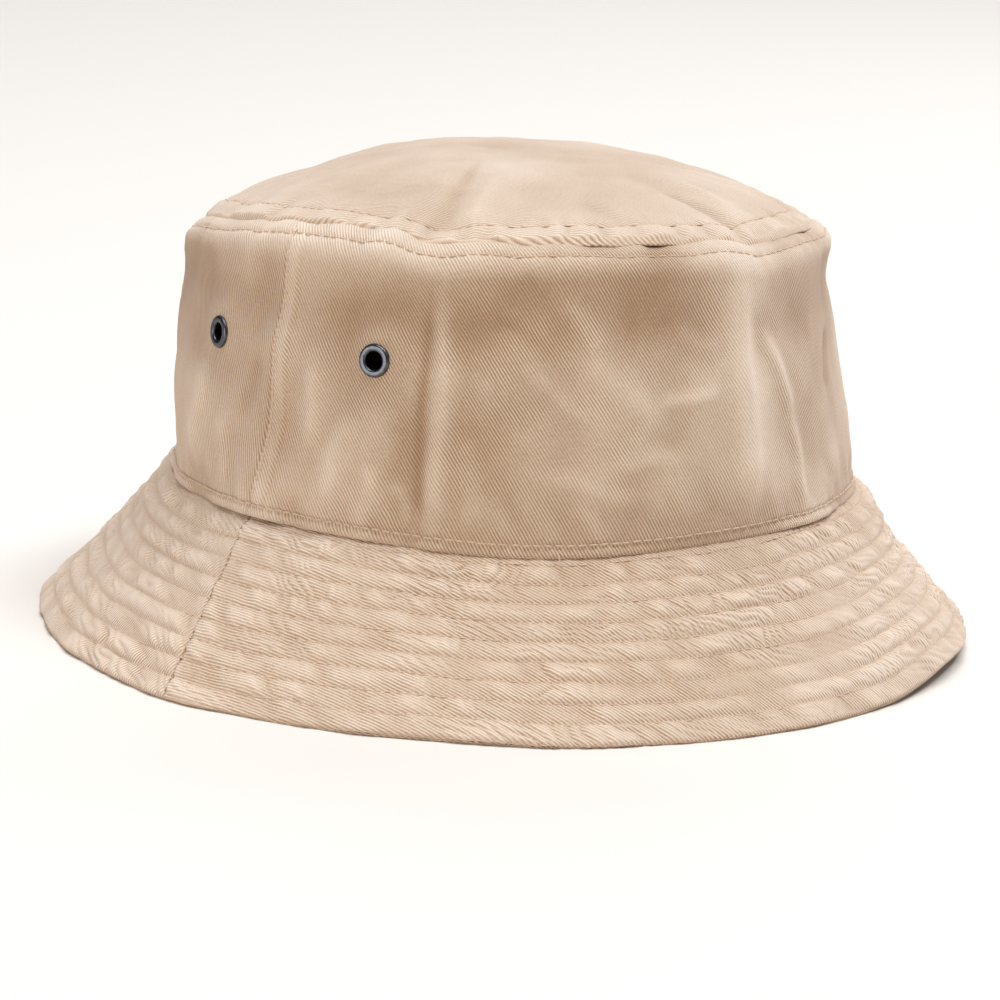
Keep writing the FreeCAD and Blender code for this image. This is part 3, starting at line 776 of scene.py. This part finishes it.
def shade(colour, factor):
    return tuple(channel * factor for channel in colour)


DARK_TINT = (0.55, 0.42, 0.30)  # of cloth colour at the dark and the light end of the twill's colours: the dark end is more saturated, as painted shade, and the light end paler, as painted light; the weave's lines and fading reach them too
LIGHT_TINT = (1.30, 1.42, 1.60)


def tinted(colour, tint):
    return tuple(channel * factor for channel, factor in zip(colour, tint))


TWILL_BASE = -0.10
TWILL_SHARES = (0.92, 0.05, 0.34, 0.16, 0.12, 0.46)  # of the ribs, floats, grain, patches, clouds and tone
FUZZ = 0.30


def twill(name, colour, depth=1.0):
    """Washed cotton twill: slanting lines of yarn, lighter where it stands out and darker where it doesn't,
    which is partly fading and partly painted light and shade.
    """
    shader = Shader(name, roughness=0.92, specular=0.12)
    place = shader.node("ShaderNodeUVMap", {"uv_map": "pattern"}).outputs[0]
    waver = shader.noise(place, 0.006, 3, -0.00024, 0.00024)
    lines = shader.stripes(place, -(QUARTER - TWILL_SLANT), TWILL_PITCH, waver)
    floats = shader.stripes(place, TWILL_SLANT - 0.25, TWILL_PITCH * 0.52, waver)
    grain = shader.noise(place, 0.0007, 3)
    patches = shader.noise(place, 0.010, 4)
    clouds = shader.noise(place, 0.045, 3)
    tone = shader.node("ShaderNodeAttribute", {"attribute_name": "tone"}).outputs["Fac"]
    shown = shader.noise(place, 0.014, 3, -0.15, 1.25)
    ribs = shader.maths("MULTIPLY", shader.maths("SUBTRACT", shader.maths("POWER", lines, 0.7), 0.55), shown)
    value = TWILL_BASE
    parts = (ribs, floats, grain, patches, clouds, tone)
    for part, share in zip(parts, TWILL_SHARES):
        value = shader.maths("MULTIPLY_ADD", part, share, value)
    dark, light = tinted(colour, DARK_TINT), tinted(colour, LIGHT_TINT)
    shader.look("Base Color", shader.ramp(value, (0.0, dark), (0.5, colour), (1.0, light)))
    fine = shader.bump(grain, 0.00008 * depth)
    woven = shader.bump(floats, 0.00004 * depth, under=fine)
    slanted = shader.bump(lines, 0.00018 * depth, under=woven)
    shader.look("Normal", shader.bump(patches, 0.0003 * depth, under=slanted))
    shader.look("Sheen Weight", FUZZ)
    shader.look("Sheen Roughness", 0.6)
    return shader.material


def plain_weave(name, colour, pitch=0.0005):
    """A tape or a backing of plain weave."""
    shader = Shader(name, roughness=0.85, specular=0.2)
    place = shader.node("ShaderNodeUVMap", {"uv_map": "pattern"}).outputs[0]
    waver = shader.noise(place, 0.004, 2, -0.0001, 0.0001)
    warp = shader.stripes(place, 0.0, pitch, waver)
    weft = shader.stripes(place, QUARTER, pitch, waver)
    weave = shader.maths("MULTIPLY", warp, weft)
    value = shader.maths("MULTIPLY_ADD", weave, 0.5, shader.noise(place, 0.006, 3, 0.0, 0.6))
    shader.look("Base Color", shader.ramp(value, (0.0, shade(colour, 0.8)), (1.0, colour)))
    shader.look("Normal", shader.bump(weave, 0.0001))
    return shader.material


def spun_thread(name, colour):
    """Cotton sewing thread."""
    shader = Shader(name, roughness=0.7, specular=0.3)
    place = shader.node("ShaderNodeTexCoord").outputs["Object"]
    fibres = shader.noise(place, 0.0004, 3)
    shader.look("Base Color", shader.ramp(fibres, (0.2, shade(colour, 0.82)), (0.8, colour)))
    shader.look("Normal", shader.bump(fibres, 0.00006))
    return shader.material


DARK_METAL = (0.070, 0.072, 0.082)
LIGHT_METAL = (0.150, 0.152, 0.168)


def gunmetal():
    """Dark plated brass, with fine handling marks."""
    shader = Shader("gunmetal", roughness=0.32, specular=0.5)
    place = shader.node("ShaderNodeTexCoord").outputs["Object"]
    marks = shader.noise(place, 0.0012, 5)
    shader.look("Metallic", 1.0)
    shader.look("Roughness", shader.spread(marks, 0.22, 0.48))
    shader.look("Base Color", shader.ramp(marks, (0.3, DARK_METAL), (0.75, LIGHT_METAL)))
    return shader.material


CLOTH_COLOUR = (0.72, 0.52, 0.365)
MATERIALS = {
    "crown_twill": twill("crown_twill", CLOTH_COLOUR),
    "brim_twill": twill("brim_twill", CLOTH_COLOUR),
    "under_brim_twill": twill("under_brim_twill", CLOTH_COLOUR),
    "sweatband_twill": twill("sweatband_twill", shade(CLOTH_COLOUR, 1.02), depth=0.6),
    "interlining": plain_weave("interlining", (0.78, 0.76, 0.71)),
    "binding_tape": plain_weave("binding_tape", (0.62, 0.51, 0.40), 0.0007),
    "thread": spun_thread("thread", shade(CLOTH_COLOUR, 1.06)),
    "label": plain_weave("label", (0.83, 0.82, 0.78), 0.0004),
    "gunmetal": gunmetal(),
}


# ---- Pieces of cloth ----
PANELS = {"front": (HALF, WHOLE), "back": (0.0, HALF)}
PANEL_GAP = 0.0006  # radians between the panels at a side seam
MID_TONE = 0.5  # of cloth that is neither faded nor dark
FADING_AND_PAINTED_LIGHT = {  # tone of level cloth, the tip's set far lighter and the crown's side darker as painted light from above, and its gain for each millimetre that the cloth stands out, which is partly fading on the crests and partly painted shade in the hollows
    "crown": (0.09, 0.42),
    "tip": (0.60, 0.40),
    "brim": (0.25, 0.56),
    "under_brim": (0.34, 0.42),
}


def faded_and_painted_light(part, relief):
    """The tone of washed cloth: partly fading, and partly painted light and shade."""
    level, gain = FADING_AND_PAINTED_LIGHT[part]
    return level + gain * relief


def panel_grid(end, columns, foot, top, rows):
    """Turns and distances of a half panel's grid."""
    start, stop = PANELS[end]
    turn = np.linspace(start + PANEL_GAP, stop - PANEL_GAP, columns)
    return np.meshgrid(turn, np.linspace(foot, top, rows))


def hole_mask(points):
    """True for the faces of a grid that aren't in an eyelet's hole."""
    centres = (points[:-1, :-1] + points[1:, 1:]) / 2
    return off_eyelets(centres, EYELET_HOLE - 0.01, EYELET_HOLE) > 0.5


FOLD_START = 0.8  # millimetres up the crown's cloth where its foot begins to fold under
FOLD_RADIUS = 0.75


def crown_panel(end):
    """Half of the crown's side, with its folded foot and its eyelet holes."""
    turn, along = panel_grid(end, columns=620, foot=-0.9, top=CROWN + 1.6, rows=172)
    true = np.maximum(along, FOLD_START)
    outward = normals(wall_face, turn, true)
    relief = wall_relief(turn, true)
    bend = np.clip(np.maximum(FOLD_START - along, 0) / FOLD_RADIUS, 0, 2.2)
    drawn_in = relief - (1 - np.cos(bend)) * FOLD_RADIUS
    points = wall_face(turn, true) + outward * drawn_in[..., None]
    points[..., 2] -= FOLD_RADIUS * np.sin(bend) + 0.7 * (1 - ease(along, 0, 8))
    middle = sum(PANELS[end]) / 2
    pattern = cone_pattern(turn, along, middle, MEAN_RADIUS, MEAN_RADIUS - WALL_LEAN, WALL)
    # Painted light: the rounded rim below the tip seam is made lighter, as it faces the light from above,
    # and a broad band near the foot is made lighter too; the relief adds fading and painted shade.
    lighter_foot_and_painted_rim_light = 0.14 * hill(along, 8, 14) + 0.54 * ease(along, WALL - 1, WALL + 6)
    tone = faded_and_painted_light("crown", relief) + lighter_foot_and_painted_rim_light
    cloth(
        "crown_side_" + end, points, CLOTH, pattern, tone, "crown_twill",
        kept=hole_mask(points),
    )


def crown_tip():
    """The domed top, with closer rows beside its seam."""
    beside_seam = np.linspace(-0.7, 14, 48)
    further_in = np.linspace(14, TIP_HALF_WIDTH - 0.05, 92)[1:]
    around = np.linspace(0, WHOLE, 900, endpoint=False)
    turn, inward = np.meshgrid(around, np.concatenate([beside_seam, further_in]))
    relief = tip_relief(turn, inward)
    points = raised(tip_face, turn, inward, relief)
    # painted light: the tip's tone is set lighter than the crown's side, as it faces the light from above,
    # with painted shade in its dents
    cloth(
        "crown_tip", points, CLOTH, points[..., :2] * MM, faded_and_painted_light("tip", relief), "crown_twill",
        closed=True,
    )


def brim_panel(end):
    """Half of the brim's upper cloth, rolled under at the edge and turned up inside the crown."""
    turn, along = panel_grid(end, columns=900, foot=0.4, top=SLOPE + BRIM_ALLOWANCE, rows=156)
    relief = brim_relief(turn, along)
    outward = normals(brim_face, turn, along)
    unrolled = brim_face(turn, along) + outward * relief[..., None]
    points = rolled(unrolled, outward, along, start=1.7, radius=0.9)
    # painted shade in the brim's furrows and between its puckers, and fading on their crests
    tone = faded_and_painted_light("brim", relief)
    brim_sheet("brim_upper_" + end, end, points, CLOTH, turn, along, tone, "brim_twill")


def brim_sheet(node, end, points, thickness, turn, along, tone, slot):
    """A layer of the brim, cut to the pattern that all its layers share."""
    middle = sum(PANELS[end]) / 2
    pattern = cone_pattern(turn, along, middle, MEAN_RADIUS + REACH, MEAN_RADIUS - BRIM_SEAM_INSET, SLOPE)
    cloth(node, points, thickness, pattern, tone, slot)


UNDER_SHIFT = 1.7  # radians that the lower cloth's puckers are shifted by, so as to be its own


def under_brim_panel(end):
    """Half of the brim's lower cloth, pinched to the upper one at the edge."""
    turn, along = panel_grid(end, columns=700, foot=0.5, top=SLOPE + BRIM_ALLOWANCE, rows=120)
    deepest = BRIM_THICKNESS - CLOTH
    depth = 0.6 + (deepest - 0.6) * ease(along, 1.0, 5.0) - (deepest - 0.7) * ease(along, SLOPE - 4, SLOPE)
    points = raised(brim_face, turn, along, -depth)
    relief = brim_relief(turn + UNDER_SHIFT, along) * (1 - ease(along, SLOPE - 6, SLOPE - 1))
    # painted shade in the furrows and between the puckers, and fading on their crests
    tone = faded_and_painted_light("under_brim", relief)
    thickness = CLOTH + 0.6 * np.maximum(relief, 0)
    brim_sheet("brim_lower_" + end, end, points, thickness, turn, along, tone, "under_brim_twill")


def brim_interlining(end):
    """The stiffening between the brim's two cloths."""
    turn, along = panel_grid(end, columns=240, foot=SLOPE * 0.06, top=SLOPE * 0.94, rows=40)
    points = raised(brim_face, turn, along, np.full_like(turn, -CLOTH - 0.1))
    node, slot = "brim_interlining_" + end, "interlining"
    brim_sheet(node, end, points, INTERLINING, turn, along, MID_TONE, slot)


BAND_DEPTH = 2.35
LABEL_DEPTH = 3.15
TAPE_DEPTH = 0.7
TIP_TAPE_DEPTH = 1.1


def inside(turn, along, depth):
    """Heights for what lies against the inside of the crown's cloth, which follows it."""
    relief = wall_relief(turn, np.clip(along, 4.5, SIDE_ROW - 1.5))
    return relief * np.clip(1.9 - depth / BAND_DEPTH, 0.5, 1) - depth


def inner_strip(node, start, stop, columns, foot, top, rows, depth, thickness, slot):
    """A strip on the inside of the crown: its ends' turns, its edges' distances and its depth."""
    turn, along = np.meshgrid(np.linspace(start, stop, columns), np.linspace(foot, top, rows))
    points = raised(wall_face, turn, along, inside(turn, along, depth))
    pattern = strip_pattern(turn, along, MEAN_RADIUS - depth)
    thick = thickness(turn, along) if callable(thickness) else thickness
    cloth(node, points, thick, pattern, MID_TONE, slot)


def sweatband_thickness(turn, along):
    """The band is doubled at its hem, and soft all along."""
    hem = ease(along, BAND_TOP - 7.5, BAND_TOP - 6.5)
    soft = 0.30 * smooth_noise(turn * WALL_ARC / 12, along / 10, 41)
    return CLOTH + 0.45 * hem - 0.25 * hill(along, BAND_HEM_ROW, FURROW) + np.maximum(soft, -0.1)


BUTT = 0.002  # radians from a butted end to its joint


def sweatband():
    """The band round the head, butted at the middle of the back."""
    inner_strip(
        "sweatband", QUARTER + BUTT, QUARTER + WHOLE - BUTT, 900, BAND_FOOT, BAND_TOP, 60,
        BAND_DEPTH, sweatband_thickness, "sweatband_twill",
    )


def seam_tapes():
    """Binding over the side seams' and the tip seam's allowances."""
    slot = "binding_tape"
    half = 7.0 / HALF_LENGTH
    for side, middle in (("right", 0.0), ("left", HALF)):
        inner_strip(
            "side_seam_tape_" + side, middle - half, middle + half, 24, BAND_TOP + 1, WALL - 2, 40,
            TAPE_DEPTH, TAPE, slot,
        )
    foot = WALL + RIM_RADIUS * math.radians(22)
    inner_strip(
        "tip_seam_tape", BUTT, WHOLE - BUTT, 500, foot, CROWN - 1.2, 16, TIP_TAPE_DEPTH, TAPE, slot
    )


def size_label():
    """A blank label on the sweatband at the middle of the back."""
    low, high = cad_box("size_label")
    half = high[0] / HALF_WIDTH
    foot, top = low[2] - FOLD_HEIGHT, high[2] - FOLD_HEIGHT
    inner_strip(
        "size_label", QUARTER - half, QUARTER + half, 60, foot, top, 30, LABEL_DEPTH, TAPE, "label"
    )


def care_label():
    """A blank flap that hangs from the right side seam, on a body of its own."""
    low, high = cad_box("care_label")
    y, z = np.meshgrid(np.linspace(low[1], high[1], 40), np.linspace(low[2], high[2], 50))
    drop = (high[2] - z) / (high[2] - low[2])
    bow = 0.5 * np.sin(HALF * drop) + 0.3 * np.sin(WHOLE * (y - low[1]) / (high[1] - low[1])) * drop
    points = np.stack([np.full_like(y, high[0]) - bow, y, z], axis=-1)
    label_sheet(points, y)


def label_sheet(points, y):
    """The flap's own sheet, which rides its own body."""
    quads = grid_quads(*y.shape, False).reshape(-1, 4)
    faces = sheet_faces(quads, y.size)
    back = points - np.array([TAPE, 0, 0])
    both = np.concatenate([points.reshape(-1, 3), back.reshape(-1, 3)])
    node = "care_label"
    piece = add_piece(node + "_cloth", both, faces.tolist(), node, "label", body=node)
    lay_pattern(piece, both[:, 1:] * MM, faces)


# ---- Stitching ----
def add_thread(node, parts):
    """A node's stitches as one piece."""
    points, faces = joined(parts)
    add_piece(node + "_thread", points, faces, node, "thread")


def lying_on(relief, lift):
    """Heights for stitches above a cloth's own."""

    def height(turn, along):
        return relief(turn, along) + lift

    return height


def against_inside(depth):
    """Heights for stitches at a depth inside the crown."""

    def height(turn, along):
        return inside(turn, along, depth)

    return height


def under_brim(turn, along):
    """Heights for the stitches that show on the brim's lower face."""
    return np.full_like(turn, -BRIM_THICKNESS - 0.16)


def brim_rows():
    """Rows of stitching through the brim, seen on both its faces."""
    for index in range(ROW_COUNT):
        row = brim_row(index)
        top = ring_stitches(brim_face, row, lying_on(brim_relief, 0.10), 50 + index, row_sway)
        under = ring_stitches(brim_face, row, under_brim, 70 + index)
        add_thread("brim_stitch_row_%d" % (index + 1), [top, under])


def crown_rows():
    """The rows round the crown: its foot, both sides of the tip seam, and the sweatband's hem."""
    foot = ring_stitches(wall_face, BASE_ROW, lying_on(wall_relief, 0.40), 91)
    bobbin = ring_stitches(wall_face, BASE_ROW, against_inside(BAND_DEPTH + CLOTH + 0.2), 92)
    add_thread("crown_base_topstitch", [foot, bobbin, loose_end()])
    side = ring_stitches(wall_face, SIDE_ROW, lying_on(wall_relief, 0.22), 93)
    add_thread("side_topstitch", [side])
    tip = ring_stitches(tip_face, TIP_ROW, lying_on(tip_relief, 0.14), 94)
    add_thread("tip_topstitch", [tip])
    on_band = lying_on(against_inside(BAND_DEPTH), -CLOTH - 0.5)
    hem = ring_stitches(wall_face, BAND_HEM_ROW, on_band, 95)
    add_thread("sweatband_hem_stitch", [hem])


def side_seam_rows():
    """The edge stitching in front of the side seams, up the crown."""
    in_front = 0.014  # radians
    for side, turn in (("left", HALF + in_front), ("right", WHOLE - in_front)):
        on_wall = lying_on(wall_relief, 0.10)
        row = line_stitches(wall_face, turn, 2 * BASE_ROW, SIDE_ROW + 1.5, on_wall)
        add_thread("side_seam_topstitch_" + side, [row])


def loose_end():
    """A short end of thread left hanging at the front of the crown's foot."""
    turn = np.radians(np.linspace(231.5, 231.9, 5))
    along = np.array([0.6, -0.2, -1.0, -1.7, -2.3])
    path = raised(wall_face, turn, np.maximum(along, 0.0), np.array([0.6, 1.2, 1.6, 1.7, 1.5]))
    path[:, 2] += np.minimum(along, 0)
    outward = normals(wall_face, turn, np.full_like(turn, 1.0))
    return stitches(path[:-1], path[1:], outward[:-1], radius=0.16, sag=0.0)


# ---- Floor and light ----
FLOOR_COLOUR = (0.83, 0.745, 0.665)
DAYLIGHT = (0.93, 1.0, 1.08)
WARMER = (1.0, 1.0, 0.98)
LAMPS = (  # name, azimuth and elevation in degrees, distance and size in metres, power, and colour
    ("top", -20, 82, 4.4, 3.2, 173, DAYLIGHT),
    ("key", 26, 62, 2.6, 0.6, 23, DAYLIGHT),
    ("right", 76, 10, 2.4, 0.9, 19, DAYLIGHT),
    ("left", -92, 6, 2.4, 0.9, 22, WARMER),
    ("wash", 136, 38, 4.2, 2.6, 56, DAYLIGHT),
)
WORLD_STRENGTH = 0.08


def floor():
    """A wide pale floor."""
    bpy.ops.mesh.primitive_plane_add(size=40)
    plane = bpy.context.object
    plane.name = "floor"
    shader = Shader("floor", roughness=1.0, specular=0.0)
    shader.look("Base Color", (*FLOOR_COLOUR, 1))
    plane.data.materials.append(shader.material)


def lamp(name, azimuth, elevation, distance, size, power, colour):
    """A soft square light that looks at the hat from a direction, in degrees and metres."""
    data = bpy.data.lights.new(name, "AREA")
    data.size = size
    data.energy = power
    data.color = colour
    light = bpy.data.objects.new(name, data)
    bpy.context.collection.objects.link(light)
    back = direction(azimuth, elevation)
    facing = back.to_track_quat("Z", "Y").to_matrix().to_4x4()
    light.matrix_world = Matrix.Translation(back * distance) @ facing


def world(colour, strength):
    """Even light from all round."""
    made = bpy.data.worlds.new("World")
    made.use_nodes = True
    background = made.node_tree.nodes["Background"]
    background.inputs["Color"].default_value = (*colour, 1)
    background.inputs["Strength"].default_value = strength
    bpy.context.scene.world = made


# ---- The hat ----
for panel_end in PANELS:
    crown_panel(panel_end)
    brim_panel(panel_end)
    under_brim_panel(panel_end)
    brim_interlining(panel_end)
crown_tip()
sweatband()
seam_tapes()
size_label()
care_label()
brim_rows()
crown_rows()
side_seam_rows()
for node_name, node_object in frame["nodes"].items():
    if node_name.startswith("eyelet"):
        node_object.data.materials.clear()
        node_object.data.materials.append(MATERIALS["gunmetal"])
        node_object.data.shade_smooth()

floor()
for settings in LAMPS:
    lamp(*settings)
world(DAYLIGHT, WORLD_STRENGTH)
bpy.context.scene.view_settings.view_transform = "Standard"
